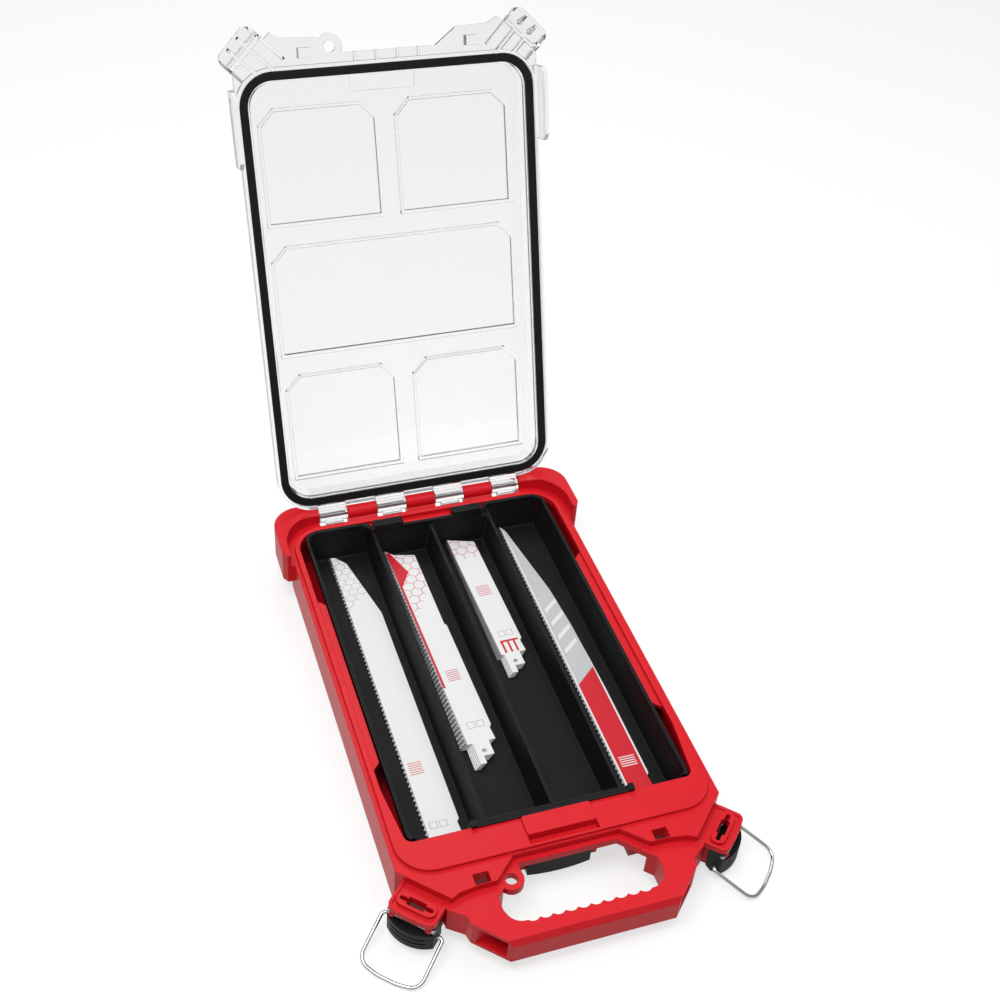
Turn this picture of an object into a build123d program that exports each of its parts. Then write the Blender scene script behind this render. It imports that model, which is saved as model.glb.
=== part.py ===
from build123d import *
import os
from math import sqrt, sin, cos, tan, radians, degrees, atan2

os.makedirs("parts", exist_ok=True)

# A flat carrying case for sabre saw blades, standing open.
# X runs across the case, +Y towards the hinge, +Z up. The origin is the middle
# of the centre pad on the underside. All sizes are in millimetres.

# --- the seal's loop, which the rib, the groove and both outlines follow
seal_w = 218.0            # between the centrelines, side to side
seal_l = 331.2            # between the centrelines, front to back
seal_mid = -5.4           # middle of the loop, from the middle of the centre pad
seal_r = 22.0             # corner radius of the centreline
seal_t = 6.5              # width of the seal's section
seal_h = 3.0              # height of the seal's section
seal_gap = 0.3            # seal over the rib with the lid shut
seal_side_gap = 0.05      # seal in its groove, each side

bite = 1.0                # how far the parts of one piece run into each other

# --- the lower body
floor_t = 3.0
wall_t = 2.8
side_reach = 5.8          # outer wall outside the seal's centreline
rear_reach = 5.2          # rear wall behind the seal's centreline
body_top = 38.5           # top of the body's flange
flange_t = 3.0
rib_t = 3.9
rib_h = 2.5
shelf_lip = 2.4           # edge of the raised shelf outside the seal's centreline
pad_h = 3.5               # feet under the floor
opening_in = 1.5          # opening's side inside the seal's centreline
tub_reach = 1.0           # tub's front ahead of the seal's centreline
shelf_depth = 22.2        # flat shelf behind the front of the seal's centreline
wing_reach = 5.8          # ledge over the side of the tray
wing_front = 73.0         # reach of that ledge, ahead of the loop's middle
wing_rear = 83.0          # and behind it
wing_slope = 7.0          # its slanted ends
narrow_y = 103.0          # ahead of here the opening closes in
front_half_gap = 1.6      # shelf's opening beside the tray
notch_ledge_w = 100.0     # ledge that fills the tray's notch at the back
notch_ledge_d = 7.0
notch_ledge_drop = 1.0
boss_w = 49.0             # raised pad in the middle of the shelf
boss_d = 15.0
boss_h = 2.0
boss_r = 2.0
dip_d = 5.9               # dip in front of that pad
dip_h = 4.5
bay_half = 48.0           # room under the shelf for fingers and the release

# --- the front deck, the handle and the ears for the latches
panel_front = 190.3       # front edge of the raised panel, ahead of the origin
panel_tip = 85.3          # its outer corners, on the diagonal walls
panel_step_x = 80.0       # where the edge steps back from them
panel_step_y = 192.4
panel_in = 66.0           # inner end of the front edge
panel_knee = 53.6         # start of its slant towards the hand opening
panel_rear_half = 37.0
panel_rear_y = 174.4
corner_u = 198.4          # corner walls, square across the diagonals
deck_top = 33.0
deck_t = 4.0
handle_front = 233.3
handle_h = 21.0
handle_half = 58.5        # half of the handle's front edge
handle_u = 205.4          # slanting ends of the handle
handle_a = 95.7           # start of those ends, along the diagonal
handle_bevel = 2.4
handle_wall = 2.4         # walls of the hollow ends
neck_half = 89.8
neck_y = 198.7
waist_half = 79.2
waist_y = 206.5
grip_d = 13.5             # depth of the bar the hand closes on
grip_wall = 3.0
hand_half = 55.5          # half the width of the hand opening
hand_rear = 178.3
hand_rear_half = 35.0
hand_knee = 199.5
hand_end_l = 9.0          # straight ends of the opening
hand_front_in = 4.0
hand_r = 11.0
ring_from = 194.0         # the opening's wall is full height ahead of this
rim_h = 5.5               # and this high behind it, as the padlock eye is
scallop_n = 10
scallop_pitch = 8.6
scallop_r = 5.2
scallop_cut = 1.7
eye_x = 43.0              # padlock eye, left of the middle
eye_y = 188.3
eye_bore = 8.5
eye_r = 8.5
eye_web = 14.0            # web that joins the eye to the deck
peg_x = 62.6              # lid pegs and the holes that take them
peg_y = 185.8
peg_w = 9.6
peg_l = 7.0
peg_h = 8.0
peg_gap = 0.5

latch_a = 58.7            # middle of each ear along its diagonal wall
ear_half = 17.0
ear_top = 32.0
ear_t = 3.5
ear_end_u = 219.6         # reach of the ear at its sides
ear_bow = 1.2             # and how much further its middle goes
ear_r = 5.0
ear_border_t = 2.2        # raised border of the ear
ear_border_h = 1.2
ear_slot_l = 24.0
ear_slot_w = 3.0
ear_slot_u = 210.3
ear_window_l = 12.0       # wider middle of the slot
ear_window_w = 6.0
ear_rim_t = 2.2           # raised rim round the slot
ear_rim_h = 2.4
lug_t = 3.2
lug_in = 2.4              # lug's face inside the ear's side
lug_r = 2.6
lug_foot = 9.0            # foot of the ribs behind the lever

# --- hinge
hinge_y = 173.6
hinge_z = 41.6
barrel_r = 5.4
hinge_pin_d = 3.0
pin_run = 0.04            # running gap all round a pin
knuckle_w = 24.2          # each body knuckle
knuckle_pitch = 49.2
knuckle_gap = 0.6
hinge_end = 85.1          # inner faces of the corner guards
pin_in_guard = 8.0
open_deg = 109.5
nib_in = 4.0              # stop nib inside its knuckle's ends
stop_drop = 5.5           # how far under the pin the lid's stop meets the rear wall

# --- corner guards at the back
guard_x = 123.5
guard_rear = 180.7
guard_front = 126.2
guard_top = 49.5
guard_foot = 19.0
guard_gap = 2.9           # guard round the lid's corner
guard_r = 22.0
guard_bevel = 3.0
guard_toe = 5.0           # slant of the guard's front end
guard_root = 6.0
guard_swing = 0.6         # guard round the lid's sweep
swing_step = 4.0
swing_end = 104.0
swing_out = 60.0

# --- lid
lid_gap = 0.3             # skirt over the flange, and side tabs beside the wall
lid_t = 2.5
lid_top = 64.0
skirt_reach = 5.6         # skirt outside the seal's centreline
lid_plate_t = 3.0
inner_lip_t = 1.5
inner_lip_drop = 2.7
lid_round = 2.5
panel_dip = 4.0           # stacking recesses in the top
panel_chamfer = 12.0
panel_pitch = 102.3
panel_l = 87.5
panel_mid_w = 196.0
panel_pair_w = 91.0
panel_pair_x = 52.0
foot_gap = 0.6            # foot in a recess, all round
lid_u = 204.0             # diagonal edges of the lid
lid_tip_half = 85.3
lid_tip_y = 200.8
lid_edge_y = 195.5
lid_step_half = 52.5
lid_notch_half = 36.2
lid_notch_y = 183.5
lid_step = 8.0            # front edge steps back this far inside its tips
lid_step_y = 196.5
lid_eye_r = 9.5           # tab round the hole over the padlock eye
tab_half_t = 3.0
tab_y0 = 108.8            # side tabs, from here
tab_y1 = 163.0            # to here
tab_foot = 25.0
tab_chamfer = 5.0
catch_u = 219.7
catch_root_u = 182.0
catch_slope = 8.0         # fall of the catch's ribs towards their ends
catch_rib_t = 2.4
catch_rib_n = 4
catch_bar_t = 3.0
catch_r = 7.0
catch_bevel = 2.5         # its upper side edges, inside the bail's bends
catch_bevel_h = 4.7
catch_lip_h = 1.7         # lip over the bail's middle
catch_lip_t = 2.6
label_half = 25.0         # shallow recess for a label at the lid's front
label_d = 13.0
label_in = 5.0            # behind the front of the seal's centreline
label_h = 1.0
label_r = 3.0
notch_rib_n = 4           # short ribs at the lid's front edge
notch_rib_pitch = 16.0
notch_rib_t = 2.0
notch_rib_l = 8.0
notch_rib_h = 6.0

# --- latch: black lever and wire bail
lever_pin_u = 217.5
lever_pin_z = 25.0
lever_pin_d = 3.0
lever_gap = 0.4           # lever under and behind the ear
lever_half = 17.0
lever_back_u = 207.5
lever_side_t = 2.0
lever_skin_t = 2.2
lever_side_out = 0.5      # outer face in front of the pin, at the lever's sides
lever_skin_bow = 6.2      # and how much further its middle goes
lever_skin_top = 3.5      # skin's top under the pin
lever_plate_top = 5.4     # lever's inner plate under the pin
lever_l = 18.0            # from the pin to the lever's foot
lever_foot_in = 4.0       # slant behind the foot
score_half = 12.5         # grooves across the lever's face
score_w = 1.5
score_h = 0.7
score_foot = 5.0
score_pitch = 4.2
bail_u = 214.0
bail_z = 16.0
bail_d = 2.6
bail_gap = 0.3
bail_out = 5.0            # arms outside the lever's sides
bail_bend = 3.0
bail_l = 37.0             # pivot to the middle of the far bar
bail_corner_r = 9.0
bail_soft_r = 30.0        # soft bends of the far bar
bail_bow = 3.0
bail_ground = 0.1         # hanging bail over the ground
hook_u = 204.7            # far bar when hooked over the lid

# --- tray
tray_half = 100.7
tray_rear_gap = 0.7
tray_front_gap = 0.7
tray_t = 1.5
tray_foot = 12.5
tray_crest = 36.0
tray_rim_t = 2.2
tray_draft = 11.6
tray_corner_r = 6.0
tray_rear_r = 11.0
divider_top = 2.2
divider_x = (-45.4, 2.5, 52.1)
inner_front_run = 17.0    # how far the middle channels' front wall leans
under_shelf = 16.0        # outer channels' reach under the shelf
under_half = 59.0         # and where that part starts
mouth_top = 0.5           # tray's straight rim laps the sloping walls
tray_under_gap = 0.3      # tray under the flange and the shelf
divider_foot = 9.0
lip_gap = 0.3
lip_half = 58.0
lip_curl_w = 4.0          # turned-up ends of the lip
lip_curl_h = 2.0
lip_reach = 1.6
lip_t = 1.6
tab_x = 33.0              # finger tabs at the back of the tray, over the ledge
tab_w = 24.0
tab_d = 4.6
tab_h = 3.8
rest_rib_t = 2.5
rest_rib_n = 5
rest_in = 45.0            # end ribs, inside the ends of the seal's loop
rest_side = 12.0          # ends of the ribs, inside the tray's sides

# --- stack release in the middle of the front wall
release_half = 22.7
release_flange_half = 26.0
release_flange_d = 4.8
release_d = 10.3
release_rear = 158.2      # back face, ahead of the origin
release_foot = 0.6
release_flange_foot = 8.0
release_top = 21.0
release_gap = 0.4
release_ceiling = 33.0
release_guide_t = 2.0     # lips in front of the release's flanges
release_bow = 1.8         # bulge of its front
spring_r = 3.6
spring_wire = 0.8
spring_n = 5
spring_seat = 3.0

# --- blades
tang_w = 12.5
tang_l = 12.6
tail_l = 6.6
tail_w = 4.6
tang_hole_d = 3.6
tang_hole_in = 6.0        # hole, from the tang's back
tang_hole_up = 4.4        # and from the tail's root
heel_l = 13.5             # plain body between the coated back's step and the shoulder
heel_in = 1.8
heel_slant = 2.4
shoulder_out = 0.6        # shoulder's point over the plain body
shoulder_back = 5.2       # tang, inside the shoulder's point
long_l = 304.8            # 12 inches
medium_l = 228.6          # 9 inches
short_l = 152.4           # 6 inches
long_tip = 150.6          # tips of the long blades, behind the origin
middle_tip = 143.2        # tips of the lowest of the shorter ones
fan_turn = 0.28           # each blade of a stack lies turned on the one below
fan_slide = 0.2           # and this much further back
coarse_x = -83.0         # toothed edge of each stack, at its tip
coarse_w = 26.0
coarse_t = 1.6
coarse_pitch = 4.2
coarse_tooth = 1.8
medium_x = -39.2
medium_w = 24.5
medium_t = 1.0
medium_pitch = 4.0
medium_tooth = 1.8
fine_x = 14.7
fine_w = 22.0
fine_t = 0.9
fine_pitch = 1.8
fine_tooth = 0.8
carbide_x = 62.0
carbide_w = 22.0
carbide_t = 1.3
carbide_pitch = 4.2
carbide_tooth = 1.6

# worked out from the sizes above
root2 = sqrt(2)
rib_top = body_top + rib_h
front_y = seal_mid - seal_l / 2
rear_y = seal_mid + seal_l / 2
side_x = seal_w / 2
wall_x = side_x + side_reach
rear_wall = rear_y + rear_reach
front_wall = front_y - rib_t / 2       # between the tray's room and the handle's
floor_top = pad_h + floor_t
window_front = front_y + shelf_depth
open_x = side_x - opening_in
open_rear = rear_y - opening_in
deck_foot = deck_top - handle_h
seal_foot = rib_top + seal_gap
groove_top = seal_foot + seal_h
lid_foot = body_top + lid_gap
shelf_top = groove_top + lid_t
tray_rim = rib_top                     # level with the shelf, under the seal
boss_near = window_front - lip_reach - lip_gap
boss_far = boss_near - boss_d
leg_x = (handle_u - handle_a) / root2  # where the handle's slanting ends start
leg_y = (handle_u + handle_a) / root2


def slab(face, bottom, top):
    """A flat piece of the given outline between two heights."""
    return extrude(Pos(0, 0, bottom) * face, top - bottom)


def loop(outset, rear=None):
    """A filled outline that stays the same distance outside the seal's centreline."""
    back = outset if rear is None else rear
    outline = RectangleRounded(seal_w + 2 * outset, seal_l + outset + back, seal_r + outset)
    return Pos(0, seal_mid + (back - outset) / 2) * outline


def polygon(points):
    return make_face(Polyline(*points, close=True))


def both(shape):
    """The shape and its mirror image across the middle of the case."""
    return shape + mirror(shape, Plane.YZ)


def box(x0, x1, y0, y1, z0, z1):
    return Pos((x0 + x1) / 2, (y0 + y1) / 2, (z0 + z1) / 2) * Box(x1 - x0, y1 - y0, z1 - z0)


def rod_x(x0, x1, y, z, r):
    """A round bar along X."""
    return Pos((x0 + x1) / 2, y, z) * Rot(0, 90, 0) * Cylinder(r, x1 - x0)


def corner(side):
    """Frame of a latch corner: X along the diagonal wall, -Y outwards, from the case's middle."""
    turn = 45 * side
    mid = Location((-latch_a / root2 * side, -latch_a / root2, 0))
    return mid * Location((0, 0, 0), (0, 0, turn))


def profile_x(points, x0, x1):
    """A piece drawn as (outward, up) points in a corner's frame, between two places along X."""
    face = make_face(Polyline(*[(x0, -u, z) for u, z in points], close=True))
    return extrude(face, x1 - x0, dir=(1, 0, 0))


def wing(points):
    """Outline through right-hand points and their mirror images on the left."""
    left = [(-x, y) for x, y in reversed(points)]
    return polygon(points + left)


# --------------------------------------------------------------- lower body
def body_outline():
    corner_y = root2 * corner_u - wall_x
    corner_x = root2 * corner_u - panel_front
    sheet = wing([(wall_x, rear_wall), (wall_x, -corner_y), (corner_x, -panel_front)])
    rear = sheet.vertices().filter_by(lambda v: v.Y > 0)
    return fillet(rear, seal_r + side_reach)


def panel_outline():
    tip = (panel_tip, -(root2 * corner_u - panel_tip))
    corner_y = root2 * corner_u - wall_x
    return wing([(wall_x, front_y + rib_t), (wall_x, -corner_y), tip,
                 (panel_step_x, -panel_step_y), (panel_in, -panel_front),
                 (panel_knee, -panel_front), (panel_rear_half, -panel_rear_y)])


def handle_outline():
    foot_x = root2 * handle_u - handle_front
    return wing([(neck_half, front_wall), (neck_half, -neck_y), (waist_half, -waist_y),
                 (leg_x, -leg_y), (foot_x, -handle_front)])


def hand_opening():
    front = handle_front - grip_d
    hole = wing([(hand_rear_half, -hand_rear), (hand_half, -hand_knee),
                 (hand_half, -hand_knee - hand_end_l), (hand_half - hand_front_in, -front)])
    low = hole.vertices().filter_by(lambda v: v.Y < -front + 1)
    return fillet(low, hand_r)


def hand_ring():
    """The hand opening with the wall that stands round it."""
    return offset(hand_opening(), grip_wall, kind=Kind.INTERSECTION)


def padlock_boss():
    ring = Pos(-eye_x, -eye_y) * Circle(eye_r)
    back = -hand_rear + grip_wall
    web = polygon([(-eye_x - eye_web, -eye_y), (-eye_x, -eye_y - eye_r), (-eye_x + eye_r, -eye_y),
                   (-eye_x + eye_web / 2, back), (-eye_x - eye_web / 2, back)])
    return ring + web


def deck():
    """The handle's part of the body, a shell open underneath, with a wall round the hand opening."""
    outline = handle_outline()
    solid = slab(outline, deck_foot, deck_top)
    front_edge = solid.faces().sort_by(Axis.Y)[0].edges().sort_by(Axis.Z)[-1]
    solid = chamfer(front_edge, 2 * handle_bevel, handle_bevel)
    hollow = offset(outline, -grip_wall, kind=Kind.INTERSECTION)
    hollow += box_face(bay_half, -hand_rear, front_wall)
    hollow &= box_face(neck_half, -leg_y, front_wall)
    ring = hand_ring()
    solid -= slab(hollow - (ring & box_face(neck_half, -handle_front, -ring_from)),
                  deck_foot, deck_top - deck_t)
    solid += slab(ring & hollow, deck_top - rim_h, deck_top)
    return solid - handle_hollow()


def handle_hollow():
    """The grip is a tube, wide open at the handle's slanting ends."""
    inner = hand_half + grip_wall
    foot, top = deck_foot + handle_wall, deck_top - handle_wall
    end = box(inner, neck_half + grip_d, -handle_front + handle_wall, -leg_y - handle_wall, foot, top)
    bore = box(-inner - bite, inner + bite, -handle_front + grip_wall,
               -handle_front + grip_d - grip_wall, deck_foot + grip_wall, deck_top - grip_wall)
    return both(end) + bore


def ear_outline():
    edge = ThreePointArc((-ear_half, -ear_end_u), (0, -ear_end_u - ear_bow), (ear_half, -ear_end_u))
    back = Polyline((ear_half, -ear_end_u), (ear_half, -corner_u + wall_t),
                    (-ear_half, -corner_u + wall_t), (-ear_half, -ear_end_u))
    sheet = make_face([edge, back])
    tips = sheet.vertices().filter_by(lambda v: v.Y < -corner_u - wall_t)
    return fillet(tips, ear_r)


def ear_slot():
    """Slot with a wider middle."""
    narrow = SlotOverall(ear_slot_l, ear_slot_w)
    return Pos(0, -ear_slot_u) * (narrow + Rectangle(ear_window_l, ear_window_w))


def lug():
    """Right-hand arm and rib under an ear, which carry one end of the lever's pin."""
    outer = ear_half - lug_in
    inner = outer - lug_t
    root, rib = corner_u - wall_t, lever_back_u - lever_gap
    under, arm_foot = ear_top - ear_t, lever_pin_z - lug_r
    arm = profile_x([(root, under), (root, lug_foot), (rib, lug_foot), (rib, arm_foot),
                     (lever_pin_u, arm_foot), (lever_pin_u, under)], inner, outer)
    return arm + rod_x(inner, outer, -lever_pin_u, lever_pin_z, lug_r)


def ear(side):
    """One latch ear with its slot, raised rims and the lugs for the lever's pin."""
    plan = ear_outline()
    rim_w = ear_window_w + 2 * ear_rim_t
    rim = Pos(0, -ear_slot_u) * SlotOverall(ear_slot_l + 2 * ear_rim_t, rim_w)
    inside = offset(plan, -ear_border_t) + box_face(ear_half - ear_border_t, -corner_u - ear_rim_t,
                                                    -corner_u + wall_t)
    under = ear_top - ear_t
    plate = slab(plan, under, ear_top)
    plate += slab(plan - inside, ear_top, ear_top + ear_border_h)
    plate += slab(rim, ear_top, ear_top + ear_rim_h)
    plate -= slab(ear_slot(), under, ear_top + ear_rim_h)
    bore = rod_x(-ear_half, ear_half, -lever_pin_u, lever_pin_z, lever_pin_d / 2)
    return corner(side) * (plate + both(lug()) - bore)


def knuckle_xs():
    return [-knuckle_pitch, 0.0, knuckle_pitch]


def body_knuckle(x):
    left, right = x - knuckle_w / 2, x + knuckle_w / 2
    barrel = rod_x(left, right, hinge_y, hinge_z, barrel_r)
    inner = rear_wall - wall_t
    low, tangent = hinge_z - 3 * barrel_r, barrel_r / root2
    web = Plane.YZ.offset(left) * polygon([(inner, low), (rear_wall, low),
                                           (hinge_y + tangent, hinge_z - tangent),
                                           (hinge_y, hinge_z), (inner, body_top - flange_t)])
    return barrel + extrude(web, right - left)


def lid_sweep():
    """Space that the lid's right rear corner needs as it turns, inside the guard."""
    radius = seal_r + skirt_reach
    swing_x = side_x + skirt_reach - radius
    edge = []
    x = hinge_end - bite
    while x < swing_end + swing_step:
        inset = radius - sqrt(radius ** 2 - max(x - swing_x, 0) ** 2)
        edge.append((x, hinge_y - rear_y - skirt_reach + inset - guard_swing))
        x += swing_step
    last = edge[-1][0]
    plan = Polyline(*edge, (last, swing_out), (hinge_end - bite, swing_out), close=True)
    face = Plane((0, hinge_y, hinge_z), x_dir=(1, 0, 0), z_dir=(0, -1, 0)) * make_face(plan)
    room = revolve(face, Axis((0, hinge_y, hinge_z), (1, 0, 0)), 360)
    return room & box(hinge_end - 2 * bite, side_x + seal_r, hinge_y - swing_out, hinge_y + swing_out,
                      body_top, body_top + swing_out)


def guard():
    """Right-hand rear corner guard, shaped clear of the lid's corner as it swings."""
    inner = wall_x - wall_t
    outline = polygon([(hinge_end, rear_wall - wall_t), (inner, guard_front + guard_root),
                       (inner, guard_front), (guard_x - guard_bevel, guard_front),
                       (guard_x, guard_front + guard_toe), (guard_x, guard_rear),
                       (hinge_end, guard_rear)])
    far = outline.vertices().sort_by(lambda v: v.X + v.Y)[-1]
    block = slab(fillet(far, guard_r), guard_foot, guard_top)
    low = block.faces().sort_by(Axis.Z)[0].edges().filter_by(lambda e: e.center().X > wall_x)
    block = chamfer(low, guard_bevel)
    block -= slab(loop(skirt_reach + guard_gap), body_top, guard_top)
    block -= slab(offset(body_outline(), -wall_t), guard_foot, body_top)
    return block - lid_sweep()


def pads(outset, bottom, top):
    """The five stacking shapes that the lid's recesses and the body's feet share."""
    pair = Pos(panel_pair_x, panel_pitch) * Rectangle(panel_pair_w, panel_l)
    mid = Rectangle(panel_mid_w, panel_l)
    shapes = []
    for sheet in (pair, Pos(-2 * panel_pair_x, 0) * pair, Pos(0, -2 * panel_pitch) * pair,
                  Pos(-2 * panel_pair_x, -2 * panel_pitch) * pair, mid):
        front = sheet.vertices().group_by(Axis.Y)[0]
        cut = chamfer(front, panel_chamfer)
        shapes.append(slab(offset(cut, outset), bottom, top))
    return shapes


def body_tub():
    """The body's walls and floor, open underneath ahead of the tray."""
    inner = offset(body_outline(), -wall_t)
    tub_front = front_y - tub_reach
    outside = tub_front - wall_t
    body = slab(body_outline(), pad_h, body_top)
    body -= slab(inner & box_face(wall_x, tub_front, rear_wall), floor_top, body_top - flange_t)
    body -= slab(inner & box_face(wall_x, -handle_front, outside), pad_h, deck_top - deck_t)
    skirt_gap = hand_half + grip_wall
    body -= box(-skirt_gap, skirt_gap, -handle_front, outside, 0, deck_top - deck_t)
    return body - slab(box_face(wall_x, -handle_front, front_wall), deck_top, body_top)


def padlock_eye(body):
    """Adds the eye, with a free way through it and room under it."""
    eye = padlock_boss() & box_face(wall_x, -eye_y - eye_r, -panel_rear_y)
    body -= Pos(-eye_x, -eye_y, (deck_top - rim_h) / 2) * Cylinder(eye_r, deck_top - rim_h)
    body += slab(eye, deck_top - rim_h, deck_top)
    return body - Pos(-eye_x, -eye_y, deck_top) * Cylinder(eye_bore / 2, 2 * deck_top)


def peg_holes():
    width, length = peg_w + 2 * peg_gap, peg_l + 2 * peg_gap
    hole = Pos(peg_x, -peg_y) * Rectangle(width, length)
    return both(slab(hole, 0, body_top + bite))


def base_shell():
    body = body_tub() + deck()
    body += slab(panel_outline(), deck_top - deck_t, body_top)
    body += slab(loop(shelf_lip), body_top, rib_top)
    body -= slab(hand_opening(), 0, rib_top)
    body = padlock_eye(body) - peg_holes()
    body -= slab(opening(), body_top - flange_t, rib_top)
    body += wings()
    body += shelf_boss()
    for foot in pads(-lid_t - foot_gap, 0, pad_h):
        body += foot
    for foot in pads(-lid_t - foot_gap - floor_t, floor_t, floor_top):
        body -= foot
    body -= hand_scallops()
    body += rest_ribs()
    for x in knuckle_xs():
        body += body_knuckle(x)
    body += both(guard())
    for side in (-1, 1):
        body += ear(side)
    body = finger_bay(body)
    body -= shelf_dip()
    pin_half = hinge_end + pin_in_guard
    return body - rod_x(-pin_half, pin_half, hinge_y, hinge_z, hinge_pin_d / 2)


def opening():
    """The body's mouth: wide at the sides, closing in towards the front corners."""
    sheet = wing([(open_x, open_rear), (open_x, -narrow_y),
                  (tray_half + front_half_gap, window_front)])
    rear = sheet.vertices().filter_by(lambda v: v.Y > 0)
    sheet = fillet(rear, seal_r - opening_in)
    front = sheet.vertices().filter_by(lambda v: v.Y < window_front + 1)
    return fillet(front, tray_corner_r)


def wings():
    inner = open_x - wing_reach
    outer = open_x + bite
    right = polygon([(outer, wing_rear + wing_slope), (inner, wing_rear), (inner, -wing_front),
                     (outer, -wing_front - wing_slope)])
    ledge = Pos(0, seal_mid) * right
    side = both(slab(ledge, body_top - flange_t, body_top))
    mid = notch_ledge_w / 2
    back = wing([(mid, open_rear + bite), (mid - notch_ledge_d, open_rear - notch_ledge_d)])
    return side + slab(back, body_top - flange_t, body_top - notch_ledge_drop)


def shelf_boss():
    """Raised pad in the middle of the shelf."""
    half = boss_w / 2
    block = box(-half, half, boss_far, boss_near, rib_top - bite, rib_top + boss_h)
    return fillet(block.edges().filter_by(Axis.Z), boss_r)


def shelf_dip():
    """Dip in the shelf in front of its pad."""
    half = boss_w / 2
    return box(-half, half, boss_far - dip_d, boss_far, rib_top - dip_h, rib_top)


def hand_scallops():
    first = -(scallop_n - 1) / 2 * scallop_pitch
    y = -handle_front + grip_d - scallop_cut + scallop_r
    cuts = Part()
    for k in range(scallop_n):
        cuts += Pos(first + k * scallop_pitch, y, deck_top) * Cylinder(scallop_r, 4 * deck_t)
    return cuts


def rest_ribs():
    """Ribs across the floor that the tray stands on."""
    half, span = tray_half - rest_side, seal_l - 2 * rest_in
    ribs = Part()
    for k in range(rest_rib_n):
        y = seal_mid - span / 2 + span * k / (rest_rib_n - 1)
        ribs += box(-half, half, y - rest_rib_t / 2, y + rest_rib_t / 2, floor_t, tray_foot)
    return ribs


# --------------------------------------------------------------- stack release
def release_room():
    """T-shaped shaft, open underneath, that the release slides in."""
    back = -release_rear + release_gap
    half = release_half + release_gap
    wide = release_flange_half + release_gap
    step = -release_rear - release_flange_d - release_gap
    near = -release_rear - release_d - release_gap
    shaft = box(-half, half, near, back, -bite, release_ceiling)
    shaft += box(-wide, wide, step, back, release_flange_foot - release_gap, release_ceiling)
    return shaft


def finger_bay(body):
    """Room under the shelf, open to the front and the ground, with the release's guides in it."""
    back = -release_rear + release_gap
    half = bay_half + wall_t
    body += box(-half, half, front_y - tub_reach - wall_t, back + wall_t, pad_h, body_top)
    body -= box(-bay_half, bay_half, -hand_rear + grip_wall, back, -bite, deck_top - deck_t)
    inner = release_half + release_gap
    outer = release_flange_half + release_gap + release_guide_t
    near = -release_rear - release_flange_d - release_gap - release_guide_t
    body += both(box(inner, outer, near, back + bite, pad_h, body_top - flange_t))
    return body - release_room()


def stack_release_slide():
    back = -release_rear
    front = back - release_d
    bow = ThreePointArc((-release_half, front), (0, front - release_bow), (release_half, front))
    sides = Polyline((release_half, front), (release_half, back), (-release_half, back),
                     (-release_half, front))
    slide = slab(make_face([bow, sides]), release_foot, release_top)
    slide += box(-release_flange_half, release_flange_half, back - release_flange_d, back,
                 release_flange_foot, release_top)
    well = Pos(0, back - release_d / 2, release_top - spring_seat / 2)
    return slide - well * Cylinder(spring_r + spring_wire, spring_seat)


def stack_release_spring():
    """A coil pressing the release down, from its seat to the shaft's ceiling."""
    foot = release_top - spring_seat + spring_wire / 2
    height = release_ceiling - foot - spring_wire / 2
    coil = Helix(height / spring_n, height, spring_r)
    start = Plane(coil @ 0, z_dir=coil % 0)
    wire = sweep(start * Circle(spring_wire / 2), coil)
    return Pos(0, -release_rear - release_d / 2, foot) * wire


# --------------------------------------------------------------- hinge and lid
def hinge_pin():
    half = hinge_end + pin_in_guard
    return rod_x(-half, half, hinge_y, hinge_z, hinge_pin_d / 2)


def lid_outline():
    """Plan of the lid's flange, wider at the front where it covers the deck."""
    x = side_x + skirt_reach
    corner_a = lid_u - root2 * x
    sheet = wing([(x, rear_y + skirt_reach), (x, -(lid_u + corner_a) / root2),
                  (lid_tip_half, -lid_tip_y), (lid_tip_half - lid_step, -lid_step_y),
                  (lid_step_half, -lid_edge_y), (lid_notch_half, -lid_notch_y)])
    rear = sheet.vertices().filter_by(lambda v: v.Y > 0)
    sheet = fillet(rear, seal_r + skirt_reach)
    tab = Pos(-eye_x, -eye_y) * Circle(lid_eye_r)
    return sheet + tab - Pos(-eye_x, -eye_y) * Circle(eye_bore / 2)


def lid_knuckle_spans():
    """Left and right ends of the lid's four hinge knuckles."""
    half = knuckle_w / 2 + knuckle_gap
    inner = (half, knuckle_pitch - half)
    outer = (knuckle_pitch + half, hinge_end - knuckle_gap)
    return [inner, outer, (-inner[1], -inner[0]), (-outer[1], -outer[0])]


def lid_knuckle(left, right):
    """Barrel, web and a stop nib that meets the rear wall when the lid is right open."""
    part = rod_x(left, right, hinge_y, hinge_z, barrel_r)
    part += box(left, right, rear_y + skirt_reach - 2, hinge_y, hinge_z - 0.5, hinge_z + barrel_r)
    nib = box(left + nib_in, right - nib_in, rear_wall + lid_gap, hinge_y - 2,
              hinge_z - stop_drop, hinge_z - 1)
    part += nib.rotate(Axis((0, hinge_y, hinge_z), (1, 0, 0)), open_deg)
    return part


def side_tab():
    """Right-hand tab that laps the outside of the body."""
    inner = wall_x + lid_gap
    tab = box(inner, inner + tab_half_t, -tab_y1, -tab_y0, tab_foot, shelf_top)
    low = tab.faces().sort_by(Axis.Z)[0].edges().filter_by(Axis.X)
    tab = chamfer(low, tab_chamfer)
    root = side_x + skirt_reach - bite
    return tab + box(root, inner + bite, -tab_y1, -tab_y0, lid_foot, shelf_top)


def hook_height():
    return bail_z + sqrt(bail_l ** 2 - (bail_u - hook_u) ** 2)


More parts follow.
